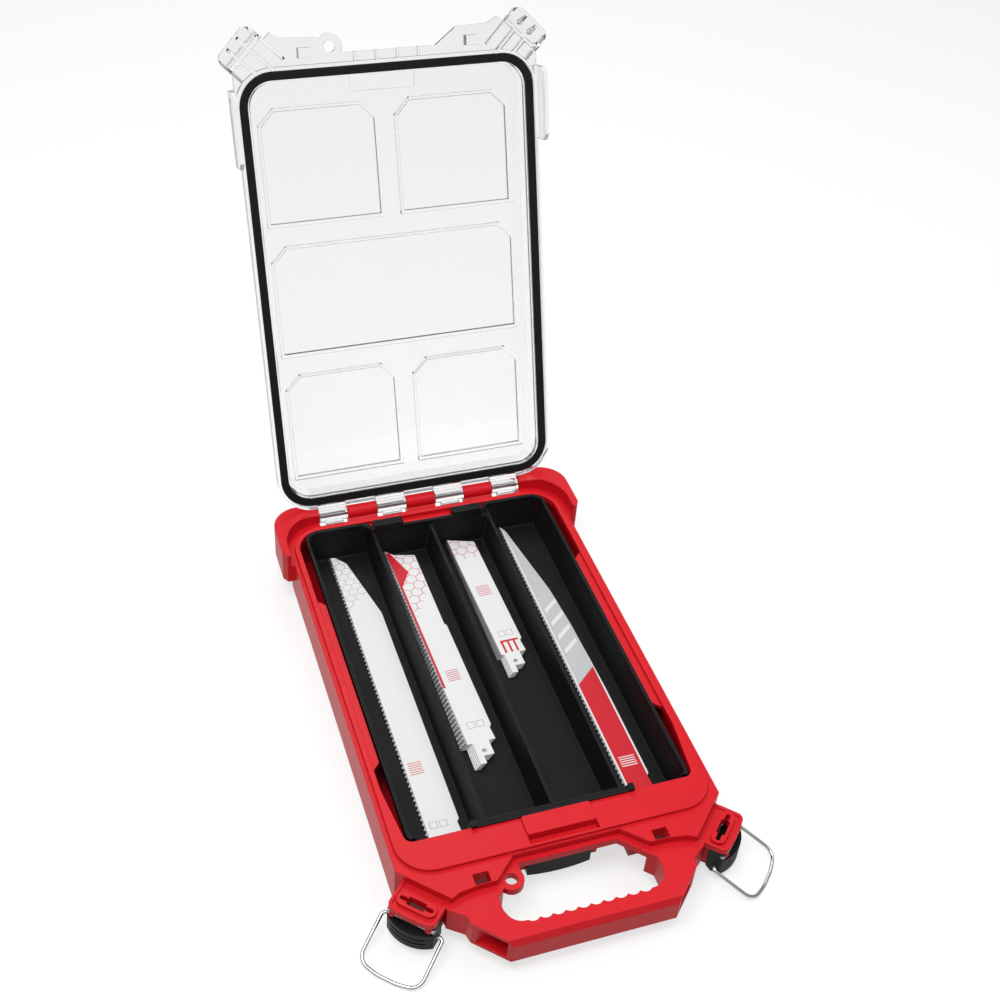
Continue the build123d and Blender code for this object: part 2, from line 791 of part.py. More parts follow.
def catch(side):
    """Ribbed block on the lid's corner with the ledge that the bail hooks over."""
    seat = hook_height() - bail_bow - bail_d / 2 - bail_gap
    bar_end_u = hook_u + (bail_u - hook_u) * bail_bow / bail_l
    lip_u = bar_end_u + bail_d / 2 + bail_gap
    lip = seat + bail_bow + catch_lip_h
    far_u = lip_u + catch_lip_t
    half = lever_half
    outline = [(catch_root_u, lid_foot), (catch_root_u, seat), (lip_u, seat), (lip_u, lip),
               (far_u, lip), (catch_u, seat - catch_slope), (catch_u, lid_foot)]
    block = profile_x([(lip_u - catch_bar_t, lid_foot), (lip_u - catch_bar_t, seat), (lip_u, seat),
                       (lip_u, lip), (far_u, lip), (far_u, lid_foot)], -half, half)
    for k in range(catch_rib_n):
        x = -half + k * (2 * half - catch_rib_t) / (catch_rib_n - 1)
        block += profile_x(outline, x, x + catch_rib_t)
    plate_top = lid_foot + lid_plate_t
    block += profile_x([(catch_root_u, lid_foot), (catch_root_u, plate_top), (catch_u, plate_top),
                        (catch_u, lid_foot)], -half, half)
    plan = box_face(half, -catch_u, -catch_root_u)
    block &= slab(fillet(plan.vertices().group_by(Axis.Y)[0], catch_r), 0, lid_top)
    front = wing([(half, lid_foot), (half, seat - catch_bevel_h), (half - catch_bevel, seat),
                  (half - catch_bevel, lip)])
    return corner(side) * (block & extrude(Plane.XZ * front, catch_u))


def label_recess():
    """Shallow recess for a label near the lid's front edge."""
    mid = front_y + label_in + label_d / 2
    sheet = Pos(0, mid) * RectangleRounded(2 * label_half, label_d, label_r)
    return slab(sheet, lid_top - label_h, lid_top)


def lid_pegs():
    peg = box(peg_x - peg_w / 2, peg_x + peg_w / 2, -peg_y - peg_l / 2, -peg_y + peg_l / 2,
              lid_foot - peg_h, lid_foot)
    return both(peg)


def notch_ribs():
    """Short ribs along the lid's front edge, over the hand opening."""
    ribs = Part()
    for k in range(notch_rib_n):
        x = (k - (notch_rib_n - 1) / 2) * notch_rib_pitch
        ribs += box(x - notch_rib_t / 2, x + notch_rib_t / 2, -lid_notch_y,
                    -lid_notch_y + notch_rib_l, lid_foot, lid_foot + notch_rib_h)
    return ribs


def lid_shell():
    outline = lid_outline()
    groove_half = seal_t / 2 + seal_side_gap
    shell = slab(outline, lid_foot, lid_foot + lid_plate_t)
    shell += slab(loop(skirt_reach), lid_foot, shelf_top)
    for side in (-1, 1):
        shell += catch(side)
    shell -= slab(loop(groove_half), lid_foot, groove_top)
    shell += slab(loop(-groove_half), groove_top - inner_lip_drop, groove_top)
    lip_in = -(groove_half + inner_lip_t)
    dome = slab(loop(lip_in + lid_t), shelf_top, lid_top)
    shell += fillet(dome.faces().sort_by(Axis.Z)[-1].edges(), lid_round)
    shell -= slab(loop(lip_in), 0, lid_top - lid_t)
    for dish in pads(0, lid_top - lid_t - panel_dip, lid_top - lid_t):
        shell += dish
    for dish in pads(-lid_t, lid_top - panel_dip, lid_top):
        shell -= dish
    shell -= label_recess()
    shell += both(side_tab())
    for left, right in lid_knuckle_spans():
        shell += lid_knuckle(left, right)
    shell += lid_pegs()
    shell += notch_ribs()
    return shell - rod_x(-hinge_end, hinge_end, hinge_y, hinge_z, hinge_pin_d / 2 + pin_run)


def lid_seal():
    ring = loop(seal_t / 2) - loop(-seal_t / 2)
    return slab(ring, seal_foot, groove_top)


def opened(piece):
    """A piece of the lid, turned from shut to resting on its stop."""
    return piece.rotate(Axis((0, hinge_y, hinge_z), (1, 0, 0)), -open_deg)


# --------------------------------------------------------------- latches
def lever_arc(outer):
    """Filled plan behind the bowed outer face of the lever."""
    u = lever_pin_u + outer
    bow = ThreePointArc((-lever_half, -u), (0, -u - lever_skin_bow), (lever_half, -u))
    rest = Polyline((lever_half, -u), (lever_half, -lever_back_u), (-lever_half, -lever_back_u),
                    (-lever_half, -u))
    return make_face([bow, rest])


def lever_cheek():
    """Right-hand side plate of a lever, close under the ear."""
    u, z, foot = lever_pin_u, lever_pin_z, lever_pin_z - lever_l
    top = ear_top - ear_t - lever_gap
    back, face = lever_back_u, lever_pin_u + lever_side_out
    side_view = [(back, top), (back, foot + lever_foot_in), (back + lever_foot_in, foot),
                 (face, foot), (face, z - lever_skin_top), (u, top)]
    return profile_x(side_view, lever_half - lever_side_t, lever_half)


def lever_scores():
    """Grooves across the lever's face."""
    skin = lever_arc(lever_side_out) - lever_arc(lever_side_out - score_h)
    skin &= box_face(score_half, -lever_pin_u - 2 * lever_skin_bow, -lever_pin_u)
    first = lever_pin_z - lever_l + score_foot
    return [slab(skin, first + k * score_pitch, first + k * score_pitch + score_w) for k in (0, 1)]


def latch_lever(side):
    z, foot = lever_pin_z, lever_pin_z - lever_l
    skin = lever_arc(lever_side_out) - lever_arc(lever_side_out - lever_skin_t)
    lever = both(lever_cheek()) + slab(skin, foot, z - lever_skin_top)
    plate_top = z - lever_plate_top
    lever += slab(lever_arc(lever_side_out - lever_skin_t / 2), plate_top - lever_side_t, plate_top)
    for score in lever_scores():
        lever -= score
    lever -= rod_x(-lever_half, lever_half, -lever_pin_u, z, lever_pin_d / 2 + pin_run)
    lever -= rod_x(-lever_half, lever_half, -bail_u, bail_z, bail_d / 2 + pin_run)
    return corner(side) * lever


def latch_pivot_pin(side):
    return corner(side) * rod_x(-lever_half, lever_half, -lever_pin_u, lever_pin_z, lever_pin_d / 2)


def bent_wire(points, radii, d):
    """A round wire along straight runs, with a rounded bend at each inner point."""
    runs = []
    last = Vector(points[0])
    for before, here, after, r in zip(points, points[1:], points[2:], radii):
        corner_at = Vector(here)
        back = (Vector(before) - corner_at).normalized()
        on = (Vector(after) - corner_at).normalized()
        half = radians(back.get_angle(on)) / 2
        cut = r / (sin(half) / cos(half))
        mid = corner_at + (back + on).normalized() * (r / sin(half) - r)
        start, end = corner_at + back * cut, corner_at + on * cut
        runs.append(Line(last, start))
        runs.append(ThreePointArc(start, mid, end))
        last = end
    runs.append(Line(last, points[-1]))
    path = Wire(runs)
    section = Plane(path @ 0, z_dir=path % 0) * Circle(d / 2)
    return sweep(section, path)


def bail_angle():
    """How far the bail hangs under the horizontal, with its bar close over the ground."""
    drop = bail_z - bail_d / 2 - bail_ground
    return degrees(atan2(drop, sqrt(bail_l ** 2 - drop ** 2)))


def latch_bail(side):
    inner = lever_half - lever_side_t
    arm = lever_half + bail_out
    near = bail_l - bail_bow
    right = [(arm / 3, -bail_l, 0), (arm, -near, 0), (arm, 0, 0), (inner, 0, 0)]
    left = [(-x, y, z) for x, y, z in reversed(right)]
    bends = [bail_bend, bail_corner_r, bail_soft_r]
    wire = bent_wire(left + right, bends + bends[::-1], bail_d)
    return corner(side) * (Pos(0, -bail_u, bail_z) * Rot(bail_angle(), 0, 0) * wire)


# --------------------------------------------------------------- tray
def tray_floor_xs():
    """Left and right crest of each channel, from left to right."""
    edge = tray_half - tray_rim_t
    lefts = [-edge] + [x + divider_top / 2 for x in divider_x]
    rights = [x - divider_top / 2 for x in divider_x] + [edge]
    return list(zip(lefts, rights))


def tray_plan(inset, front):
    """Tray's plan, with its notch at the back round the body's ledge."""
    rear = open_rear - tray_rear_gap - inset
    half = tray_half - inset
    mid = notch_ledge_w / 2 + tray_rear_gap + inset
    step = rear - notch_ledge_d - tray_rear_gap
    sheet = wing([(half, front + inset), (half, rear), (mid, rear), (mid - notch_ledge_d, step)])
    ends = sheet.vertices().filter_by(lambda v: abs(v.X) > half - 1)
    sheet = fillet(ends.filter_by(lambda v: v.Y > 0), tray_rear_r - inset)
    ends = sheet.vertices().filter_by(lambda v: v.Y < front + inset + 1)
    return fillet(ends, tray_corner_r - inset)


def tray_lip(front):
    """Lip of the middle channels, lying on the shelf, with its ends turned up."""
    foot, top = rib_top + lip_gap, rib_top + lip_gap + lip_t
    near = front + tray_rim_t
    lip = box(-lip_half, lip_half, window_front - lip_reach, near, foot, top)
    lip += box(-lip_half, lip_half, front, near, tray_crest, top)
    curl = box(lip_half - lip_curl_w, lip_half, window_front - lip_reach, near, foot, top + lip_curl_h)
    return lip + both(curl)


def finger_tabs():
    """Tabs at the back of the tray that reach over the body's ledge."""
    wall = open_rear - 2 * tray_rear_gap - notch_ledge_d
    foot = body_top - notch_ledge_drop + tray_under_gap
    tab = box(tab_x - tab_w / 2, tab_x + tab_w / 2, wall - tray_rim_t, wall + tab_d, foot,
              tray_rim + tab_h)
    return both(tab)


def insert_tray():
    front = window_front + tray_front_gap
    low_front = window_front - under_shelf
    brim = body_top - flange_t - tray_under_gap
    outer = tray_plan(0, low_front) - box_face(under_half, low_front, front)
    body = extrude(Pos(0, 0, brim) * outer, -(brim - tray_foot), taper=tray_draft)
    body += slab(tray_plan(0, front), brim - mouth_top, tray_rim)
    body -= slab(tray_plan(tray_rim_t, front), tray_crest, tray_rim)
    for k, (left, right) in enumerate(tray_floor_xs()):
        body -= channel(k, left, right, front, low_front)
    for x in divider_x:
        body -= divider_hollow(x, front)
    side = tray_half - tray_rim_t
    mouth = polygon([(under_half, front), (side, front), (side, front + tray_rim_t),
                     (under_half, front + tray_rim_t)])
    body -= both(slab(mouth, brim, tray_rim))
    return body + tray_lip(front) + finger_tabs()


def box_face(half, y0, y1):
    return Pos(0, (y0 + y1) / 2) * Rectangle(2 * half, y1 - y0)


def channel(k, left, right, front, low_front):
    """Room of one channel. The middle two have a front wall that leans towards the handle."""
    middle = k in (1, 2)
    rear = open_rear - tray_rear_gap - tray_rim_t
    near = low_front + tray_rim_t
    if middle:
        rear -= notch_ledge_d + tray_rear_gap
        near = front + tray_rim_t
    face = Pos((left + right) / 2, (near + rear) / 2) * Rectangle(right - left, rear - near)
    floor = tray_foot + tray_t
    cut = extrude(Pos(0, 0, tray_crest) * face, floor - tray_crest, taper=tray_draft)
    if middle:
        side_view = [(near, tray_crest), (near + inner_front_run, floor), (rear, floor),
                     (rear, tray_crest)]
        cut &= extrude(Plane.YZ.offset(left) * polygon(side_view), right - left)
    return cut


def divider_hollow(x, front):
    """The dividers are folded sheet, so they are hollow underneath."""
    near, far = front + inner_front_run, open_rear - 2 * inner_front_run
    face = Pos(x, (near + far) / 2) * Rectangle(divider_foot - 2 * tray_t, far - near)
    height = tray_crest - tray_foot - 2 * tray_t
    high_enough = (divider_foot / 2 - tray_t - 0.2) / tan(radians(tray_draft))
    return extrude(Pos(0, 0, tray_foot) * face, min(height, high_enough), taper=tray_draft)


# --------------------------------------------------------------- blades
def blade_outline(length, width, pitch, tooth, tip):
    """Blade in plan: points of the teeth at X = 0, coated back at X = width, tip along +Y."""
    root = tail_l + tang_l
    heel = width - heel_in
    point = heel + shoulder_out
    tang_right = point - shoulder_back
    tang_left = tang_right - tang_w
    outline = [(tang_left, 0), (tang_left + tail_w, 0), (tang_left + tail_w, tail_l),
               (tang_right, tail_l), (tang_right, root), (point, root),
               (heel, root + heel_l - heel_slant), (width, root + heel_l)]
    outline += [(width - x, length - y) for x, y in tip]
    first = root + tooth
    for k in range(int((length - first) / pitch), 0, -1):
        y = first + k * pitch
        outline += [(0, y), (tooth, y - pitch / 3)]
    outline += [(0, first), (tooth, root), (tang_left, root)]
    hole = Pos(tang_right - tang_hole_in, tail_l + tang_hole_up) * Circle(tang_hole_d / 2)
    return polygon(outline) - hole


def stack(name, number, outline, thick, x, tip_y, length, turn=0.0, slide=0.0):
    """Blades lying on each other, each turned a little about the toothed corner of its tip."""
    floor = tray_foot + tray_t
    pieces = {}
    for k in range(number):
        tip = Pos(x, tip_y + k * slide, floor + k * thick) * Rot(0, 0, k * turn)
        pieces[f"{name}_{k + 1}"] = tip * extrude(Pos(0, -length) * outline, thick)
    return pieces


def all_blades():
    coarse = blade_outline(long_l, coarse_w, coarse_pitch, coarse_tooth,
                           [(0, 70), (13.1, 9.4), (20.5, 0.8), (coarse_w - coarse_tooth, 0)])
    medium = blade_outline(medium_l, medium_w, medium_pitch, medium_tooth,
                           [(0, 93), (1.4, 91), (0.6, 11), (17.0, 6.5), (medium_w - 1, 0)])
    fine = blade_outline(short_l, fine_w, fine_pitch, fine_tooth, [(0, 8), (0.8, 7), (fine_w - 1, 0)])
    carbide = blade_outline(long_l, carbide_w, carbide_pitch, carbide_tooth,
                            [(0, 190), (2.0, 120), (5.0, 80), (17.0, 6), (20.0, 0.5),
                             (carbide_w - carbide_tooth, 0)])
    slide = fan_slide
    made = stack("blade_long_coarse", 1, coarse, coarse_t, coarse_x, long_tip, long_l)
    made |= stack("blade_medium", 5, medium, medium_t, medium_x, middle_tip, medium_l, fan_turn, slide)
    made |= stack("blade_short_fine", 5, fine, fine_t, fine_x, middle_tip, short_l, fan_turn, slide)
    made |= stack("blade_long_carbide", 2, carbide, carbide_t, carbide_x, long_tip, long_l)
    return made


# --------------------------------------------------------------- all the pieces
def all_pieces():
    made = {
        "base_shell": base_shell(),
        "insert_tray": insert_tray(),
        "hinge_pin": hinge_pin(),
        "lid_shell": opened(lid_shell()),
        "lid_seal": opened(lid_seal()),
        "stack_release_slide": stack_release_slide(),
        "stack_release_spring": stack_release_spring(),
    }
    for name, side in (("left", -1), ("right", 1)):
        made[f"latch_lever_{name}"] = latch_lever(side)
        made[f"latch_pivot_pin_{name}"] = latch_pivot_pin(side)
        made[f"latch_bail_{name}"] = latch_bail(side)
    return made | all_blades()


if __name__ == "__main__":
    for node, piece in all_pieces().items():
        export_step(piece, f"parts/{node}.step")
        print(f"{node}: {piece.volume / 1000:.1f} cm3, {len(piece.solids())} solid")
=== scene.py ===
# %% [markdown]
# # A flat blade case, dressed
# The case is a red moulded body with a clear lid standing open, a black tray with four
# channels of sabre saw blades, and two wire bail latches. Its pieces already have their
# true shape, so this lesson gives them their finishes, adds what is printed or ground on
# them, and sets up a plain studio. First the fixed model is loaded, and its box is kept.

# %% Load the model
import math

import bmesh
import bpy
from mathutils import Euler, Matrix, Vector


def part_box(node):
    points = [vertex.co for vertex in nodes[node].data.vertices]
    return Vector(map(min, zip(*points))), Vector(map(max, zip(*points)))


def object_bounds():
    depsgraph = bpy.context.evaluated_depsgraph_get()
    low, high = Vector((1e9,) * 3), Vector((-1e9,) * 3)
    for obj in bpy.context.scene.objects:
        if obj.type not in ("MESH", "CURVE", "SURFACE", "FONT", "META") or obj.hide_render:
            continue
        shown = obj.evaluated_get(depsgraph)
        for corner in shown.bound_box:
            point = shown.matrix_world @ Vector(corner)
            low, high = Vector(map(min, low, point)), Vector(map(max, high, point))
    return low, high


MM = 0.001
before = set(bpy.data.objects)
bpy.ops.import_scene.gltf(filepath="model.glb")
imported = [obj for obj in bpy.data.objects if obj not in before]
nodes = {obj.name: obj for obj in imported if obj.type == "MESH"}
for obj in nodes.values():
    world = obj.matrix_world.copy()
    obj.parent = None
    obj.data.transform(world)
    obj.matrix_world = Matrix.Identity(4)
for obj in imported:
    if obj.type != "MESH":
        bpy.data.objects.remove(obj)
cad_low, cad_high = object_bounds()
print("pieces:", len(nodes), "box:", [round(v, 3) for v in cad_high - cad_low])

# %% [markdown]
# ## The studio
# A product shot on white needs three things: a lens, a floor that takes a soft shadow,
# and light with no hard edge. The camera looks down at 41 degrees from the front left.
# The floor is matt and reads as white, while the lamps stay gentle enough for the red.

# %% Camera
CAMERA_PLACE = Vector((-271.5, -682.8, 828.6)) * MM
CAMERA_TURN = (48.856, -3.701, -18.591)
LENS_MM = 52.03


def make_camera():
    data = bpy.data.cameras.new("studio_camera")
    data.lens = LENS_MM
    data.sensor_width = 36.0
    data.clip_start, data.clip_end = 0.01, 50
    camera = bpy.data.objects.new("studio_camera", data)
    camera.location = CAMERA_PLACE
    camera.rotation_euler = Euler([math.radians(a) for a in CAMERA_TURN])
    bpy.context.collection.objects.link(camera)
    bpy.context.scene.camera = camera


make_camera()
bpy.context.scene.view_settings.view_transform = "Standard"
print("camera", round(LENS_MM), "mm lens")

# %% [markdown]
# ## A workbench for shader nodes
# Materials here are node networks. Writing each Math node by hand hides the idea, so a
# Number wraps a socket and turns Python's own +, -, * and % into Math nodes. A Bench holds
# one material and makes every other node from its type, its settings and its inputs.


# %% Numbers that vary over a surface
class Number:
    def __init__(self, bench, socket):
        self.bench = bench
        self.socket = socket

    def maths(self, operation, *others):
        values = dict(enumerate((self, *others)))
        made = self.bench.node("ShaderNodeMath", {"operation": operation}, values)
        return Number(self.bench, made.outputs[0])

    def flipped(self, operation, other):
        made = self.bench.node("ShaderNodeMath", {"operation": operation}, {0: other, 1: self})
        return Number(self.bench, made.outputs[0])

    def __add__(self, other):
        return self.maths("ADD", other)

    def __sub__(self, other):
        return self.maths("SUBTRACT", other)

    def __mul__(self, other):
        return self.maths("MULTIPLY", other)

    def __radd__(self, other):
        return self + other

    def __rmul__(self, other):
        return self * other

    def __rsub__(self, other):
        return self.flipped("SUBTRACT", other)

    def __gt__(self, other):
        return self.maths("GREATER_THAN", other)

    def __lt__(self, other):
        return self.maths("LESS_THAN", other)

    def __abs__(self):
        return self.maths("ABSOLUTE")

    def __mod__(self, other):
        return self.maths("FLOORED_MODULO", other)

    def least(self, other):
        return self.maths("MINIMUM", other)

    def most(self, other):
        return self.maths("MAXIMUM", other)

    def clipped(self):
        return self.least(1.0).most(0.0)


# %% One material's bench
EDGE_GAIN = 8.0       # how strongly a rounded normal that leans off the flat one marks an edge


class Bench:
    def __init__(self, name):
        self.material = bpy.data.materials.new(name)
        self.material.use_nodes = True
        self.tree = self.material.node_tree
        self.tree.nodes.clear()
        self.out = self.tree.nodes.new("ShaderNodeOutputMaterial")

    def node(self, kind, settings=None, inputs=None):
        """A node of one type, with its settings made first and then its sockets fed."""
        made = self.tree.nodes.new(kind)
        for key, value in (settings or {}).items():
            setattr(made, key, value)
        for key, value in (inputs or {}).items():
            self.feed(made.inputs[key], value)
        return made

    def feed(self, socket, value):
        if isinstance(value, Number):
            value = value.socket
        if isinstance(value, bpy.types.NodeSocket):
            self.tree.links.new(value, socket)
        else:
            socket.default_value = value

    def place(self):
        """X, Y and Z of the surface in millimetres, in the case's own frame."""
        seat = self.node("ShaderNodeTexCoord").outputs["Object"]
        split = self.node("ShaderNodeSeparateXYZ", None, {0: seat})
        return [Number(self, axis) * 1000.0 for axis in split.outputs]

    def grain(self, size_mm, detail=2.0, stretch=(1, 1, 1)):
        """Noise between 0 and 1 whose blobs are about size_mm across."""
        seat = self.node("ShaderNodeTexCoord").outputs["Object"]
        scaled = self.node("ShaderNodeMapping", None, {"Vector": seat, "Scale": stretch})
        noise = self.node("ShaderNodeTexNoise", None,
                          {"Vector": scaled.outputs[0], "Scale": 1000.0 / size_mm, "Detail": detail})
        return Number(self, noise.outputs["Fac"])

    def mix(self, mask, under, over):
        """Colour over on top of colour under, where the mask is 1."""
        made = self.node("ShaderNodeMix", {"data_type": "RGBA"}, {0: mask, 6: under, 7: over})
        return made.outputs[2]

    def soft_edges(self, radius_mm, samples=6):
        """A normal that rounds off the piece's edges, as a mould's own radius does."""
        made = self.node("ShaderNodeBevel", {"samples": samples}, {"Radius": radius_mm * MM})
        return made.outputs[0]

    def edges(self, radius_mm, samples=6):
        """Near 1 close to the piece's edges and 0 on its flats."""
        rounded = self.soft_edges(radius_mm, samples)
        flat = self.node("ShaderNodeNewGeometry").outputs["Normal"]
        made = self.node("ShaderNodeVectorMath", {"operation": "DOT_PRODUCT"}, {0: rounded, 1: flat})
        return ((1.0 - Number(self, made.outputs["Value"])) * EDGE_GAIN).clipped()

    def bump(self, height, depth_mm, normal=None):
        inputs = {"Height": height, "Distance": depth_mm * MM, "Strength": 1.0}
        if normal is not None:
            inputs["Normal"] = normal
        return self.node("ShaderNodeBump", None, inputs).outputs[0]

    def surface(self, **sockets):
        """The finished Principled surface. Underscores in names stand for spaces."""
        inputs = {key.replace("_", " "): value for key, value in sockets.items()}
        made = self.node("ShaderNodeBsdfPrincipled", None, inputs)
        self.feed(self.out.inputs["Surface"], made.outputs[0])
        return made


def dress(names, material):
    """Give CAD pieces a finish in all their material slots."""
    for name in names:
        slots = nodes[name].material_slots
        if not slots:
            nodes[name].data.materials.append(material)
        for slot in slots:
            slot.material = material


print("bench ready")

# %% [markdown]
# ## Floor, sky and lamps
# Light Path tells a material what kind of ray has hit it. Rays from the eye, off shiny
# things and through clear plastic find a floor that glows up to white, so metal and clear
# plastic show it too. All other rays find a mid grey floor, which throws little light back
# at the case's sides, and both kinds find the shadow that falls on it.

# %% Floor and sky
FLOOR_GREY = 0.34
FLOOR_HALF = 6.0      # metres
SKY_LIGHT = 0.42


def seen_directly(bench):
    """1 for rays from the eye, off a shiny surface or through clear plastic."""
    path = bench.node("ShaderNodeLightPath")
    rays = [Number(bench, path.outputs[f"Is {kind} Ray"]) for kind in ("Camera", "Glossy", "Transmission")]
    return (rays[0] + rays[1] + rays[2]).clipped()


def make_floor():
    bench = Bench("studio_floor")
    glow = 1.0 - FLOOR_GREY
    light = bench.mix(seen_directly(bench), (0, 0, 0, 1), (glow, glow, glow, 1))
    bench.surface(Base_Color=(FLOOR_GREY, FLOOR_GREY, FLOOR_GREY, 1), Roughness=1.0,
                  Specular_IOR_Level=0.0, Emission_Color=light, Emission_Strength=1.0)
    bm = bmesh.new()
    bmesh.ops.create_grid(bm, x_segments=1, y_segments=1, size=FLOOR_HALF)
    mesh = bpy.data.meshes.new("studio_floor")
    bm.to_mesh(mesh)
    bm.free()
    mesh.materials.append(bench.material)
    floor = bpy.data.objects.new("studio_floor", mesh)
    bpy.context.collection.objects.link(floor)


def make_sky():
    world = bpy.data.worlds.new("studio_sky")
    bpy.context.scene.world = world
    world.use_nodes = True
    back = world.node_tree.nodes["Background"]
    back.inputs["Color"].default_value = (1, 1, 1, 1)
    back.inputs["Strength"].default_value = SKY_LIGHT


make_floor()
make_sky()
print("floor and sky ready")


# %% Lamps
def area_lamp(name, place, aim, size, watts):
    data = bpy.data.lights.new(name, "AREA")
    data.shape = "DISK"
    data.size = size
    data.energy = watts
    lamp = bpy.data.objects.new(name, data)
    lamp.location = place
    lamp.rotation_euler = (Vector(aim) - Vector(place)).to_track_quat("-Z", "Y").to_euler()
    bpy.context.collection.objects.link(lamp)
    return lamp


middle = (cad_low + cad_high) / 2
area_lamp("key_lamp", (-0.5, -0.35, 1.7), middle, 1.0, 19)
area_lamp("fill_lamp", (0.9, -0.2, 1.6), middle, 1.2, 7)
area_lamp("back_lamp", (0.2, 1.2, 1.5), middle, 0.8, 6)
print("three lamps")

# %% [markdown]
# ## Moulded red plastic
# The body is one big moulding in red ABS. Such a part is never mirror smooth: the tool's
# spark-eroded skin leaves a fine grain, and every edge has a small radius that catches
# light. The grain is bump from small noise, the radius comes from the Bevel node, and a painted shade
# darkens the colour along the edges.


# %% Red body
def red_plastic():
    bench = Bench("moulded_red")
    cloud = bench.grain(60.0)
    fine = bench.grain(0.5, 1.0)
    colour = bench.mix(cloud, (0.58, 0.005, 0.012, 1), (0.64, 0.007, 0.015, 1))
    # Painted shade: the red is darkened along the edges, where bevels and grooves fall into shade.
    colour = bench.mix(bench.edges(0.5) * 0.5, colour, (0.36, 0.003, 0.006, 1))
    normal = bench.bump(fine, 0.02, bench.soft_edges(0.7))
    bench.surface(Base_Color=colour, Roughness=cloud * 0.08 + 0.36, Normal=normal,
                  Specular_IOR_Level=0.24)
    return bench.material


dress(["base_shell"], red_plastic())
print("red body dressed")

# %% [markdown]
# ## Clear lid
# The lid is clear polycarbonate. Real refraction bends the lines of its ribs, which is
# most of what the eye sees of it. Lamp rays can't pass refracting plastic without slow
# caustics, so for shadow rays alone the surface is swapped for a plain see-through one.


# %% Clear plastic
def clear_plastic():
    bench = Bench("clear_polycarbonate")
    waves = bench.grain(25.0)
    normal = bench.bump(waves, 0.05, bench.soft_edges(0.5, 4))
    body = bench.surface(Base_Color=(0.89, 0.895, 0.90, 1), Roughness=0.03, IOR=1.46,
                         Transmission_Weight=1.0, Normal=normal)
    open_way = bench.node("ShaderNodeBsdfTransparent", None, {"Color": (0.93, 0.94, 0.94, 1)})
    path = bench.node("ShaderNodeLightPath")
    blend = bench.node("ShaderNodeMixShader", None, {0: path.outputs["Is Shadow Ray"],
                                                      1: body.outputs[0], 2: open_way.outputs[0]})
    bench.feed(bench.out.inputs["Surface"], blend.outputs[0])
    return bench.material


dress(["lid_shell"], clear_plastic())
print("clear lid dressed")

# %% [markdown]
# ## Black pieces
# The tray is formed sheet with a dull satin skin, and a painted highlight lightens it along its folds,
# where a rounded normal and the flat one disagree. The latches are glass-filled nylon with a
# coarser grain, and the seal is soft rubber that scatters what little light it takes.


# %% Black tray, nylon and rubber
def black_sheet():
    bench = Bench("formed_black_sheet")
    waves = bench.grain(35.0)
    fine = bench.grain(0.4, 1.0)
    normal = bench.bump(fine, 0.015, bench.soft_edges(0.8))
    # Painted highlight: the black is lightened along folds and edges, where light would catch them.
    colour = bench.mix(bench.edges(0.5), (0.008, 0.008, 0.009, 1), (0.075, 0.075, 0.078, 1))
    bench.surface(Base_Color=colour, Roughness=waves * 0.12 + 0.42, Normal=normal,
                  Specular_IOR_Level=0.12)
    return bench.material


def black_nylon():
    bench = Bench("black_nylon")
    fine = bench.grain(0.35, 2.0)
    normal = bench.bump(fine, 0.03, bench.soft_edges(0.5))
    bench.surface(Base_Color=(0.009, 0.009, 0.010, 1), Roughness=fine * 0.15 + 0.42, Normal=normal,
                  Specular_IOR_Level=0.16)
    return bench.material


def seal_rubber():
    bench = Bench("seal_rubber")
    fine = bench.grain(0.6, 3.0)
    normal = bench.bump(fine, 0.02, bench.soft_edges(1.2))
    bench.surface(Base_Color=(0.008, 0.008, 0.008, 1), Roughness=fine * 0.1 + 0.5, Normal=normal,
                  Specular_IOR_Level=0.15)
    return bench.material


sides = ("left", "right")
dress(["insert_tray"], black_sheet())
dress(["stack_release_slide"] + [f"latch_lever_{side}" for side in sides], black_nylon())
dress(["lid_seal"], seal_rubber())
print("black pieces dressed")

# %% [markdown]
# ## Wire and pins
# The bails are bright nickel-plated spring wire. The pins and the release's spring are
# plain drawn steel, whose drawing lines run round and round as fine rough bands.


# %% Bright wire and drawn steel
def bright_wire():
    bench = Bench("nickel_wire")
    smear = bench.grain(6.0)
    bench.surface(Base_Color=(0.50, 0.50, 0.51, 1), Metallic=1.0, Roughness=smear * 0.08 + 0.09,
                  Normal=bench.bump(smear, 0.01))
    return bench.material


def drawn_steel():
    bench = Bench("drawn_steel")
    lines = bench.grain(0.3, 1.0, (0.05, 1, 1))
    bench.surface(Base_Color=(0.30, 0.30, 0.31, 1), Metallic=1.0, Roughness=lines * 0.2 + 0.25,
                  Normal=bench.bump(lines, 0.01))
    return bench.material


dress([f"latch_bail_{side}" for side in sides], bright_wire())
steel = drawn_steel()
dress(["hinge_pin", "stack_release_spring"] + [f"latch_pivot_pin_{side}" for side in sides], steel)
print("wire and pins dressed")

# %% [markdown]
# ## Blades
# Each blade is stamped steel with a printed coat, and its teeth are ground bare through
# the coat. The masks follow the blade's own tooth line, and the blades of a stack lie
# turned on each other, so each blade gets a bench of its own with its places turned back.
# Near the tips the coat carries a net of hexagons, which is drawn by measuring how far
# each point is from the edge of its hexagon.

# %% Blade masks
FAN_TURN = 0.28       # degrees from one blade of a stack to the next
WHITE = (0.73, 0.73, 0.73, 1)
PALE_GREY = (0.42, 0.42, 0.43, 1)
FIELD_GREY = (0.50, 0.51, 0.52, 1)
MID_GREY = (0.22, 0.22, 0.23, 1)
BARE_STEEL = (0.30, 0.30, 0.31, 1)
PRINT_RED = (0.58, 0.008, 0.02, 1)
PALE_RED = (0.60, 0.16, 0.19, 1)
CUT_EDGE_SLOPE = 0.7  # a face whose normal points up or down by less than this is a cut edge
STRIPE_PITCH, STRIPE_WIDE = 2.0, 0.8
NET_SIZE, NET_LINE = 8.6, 0.3


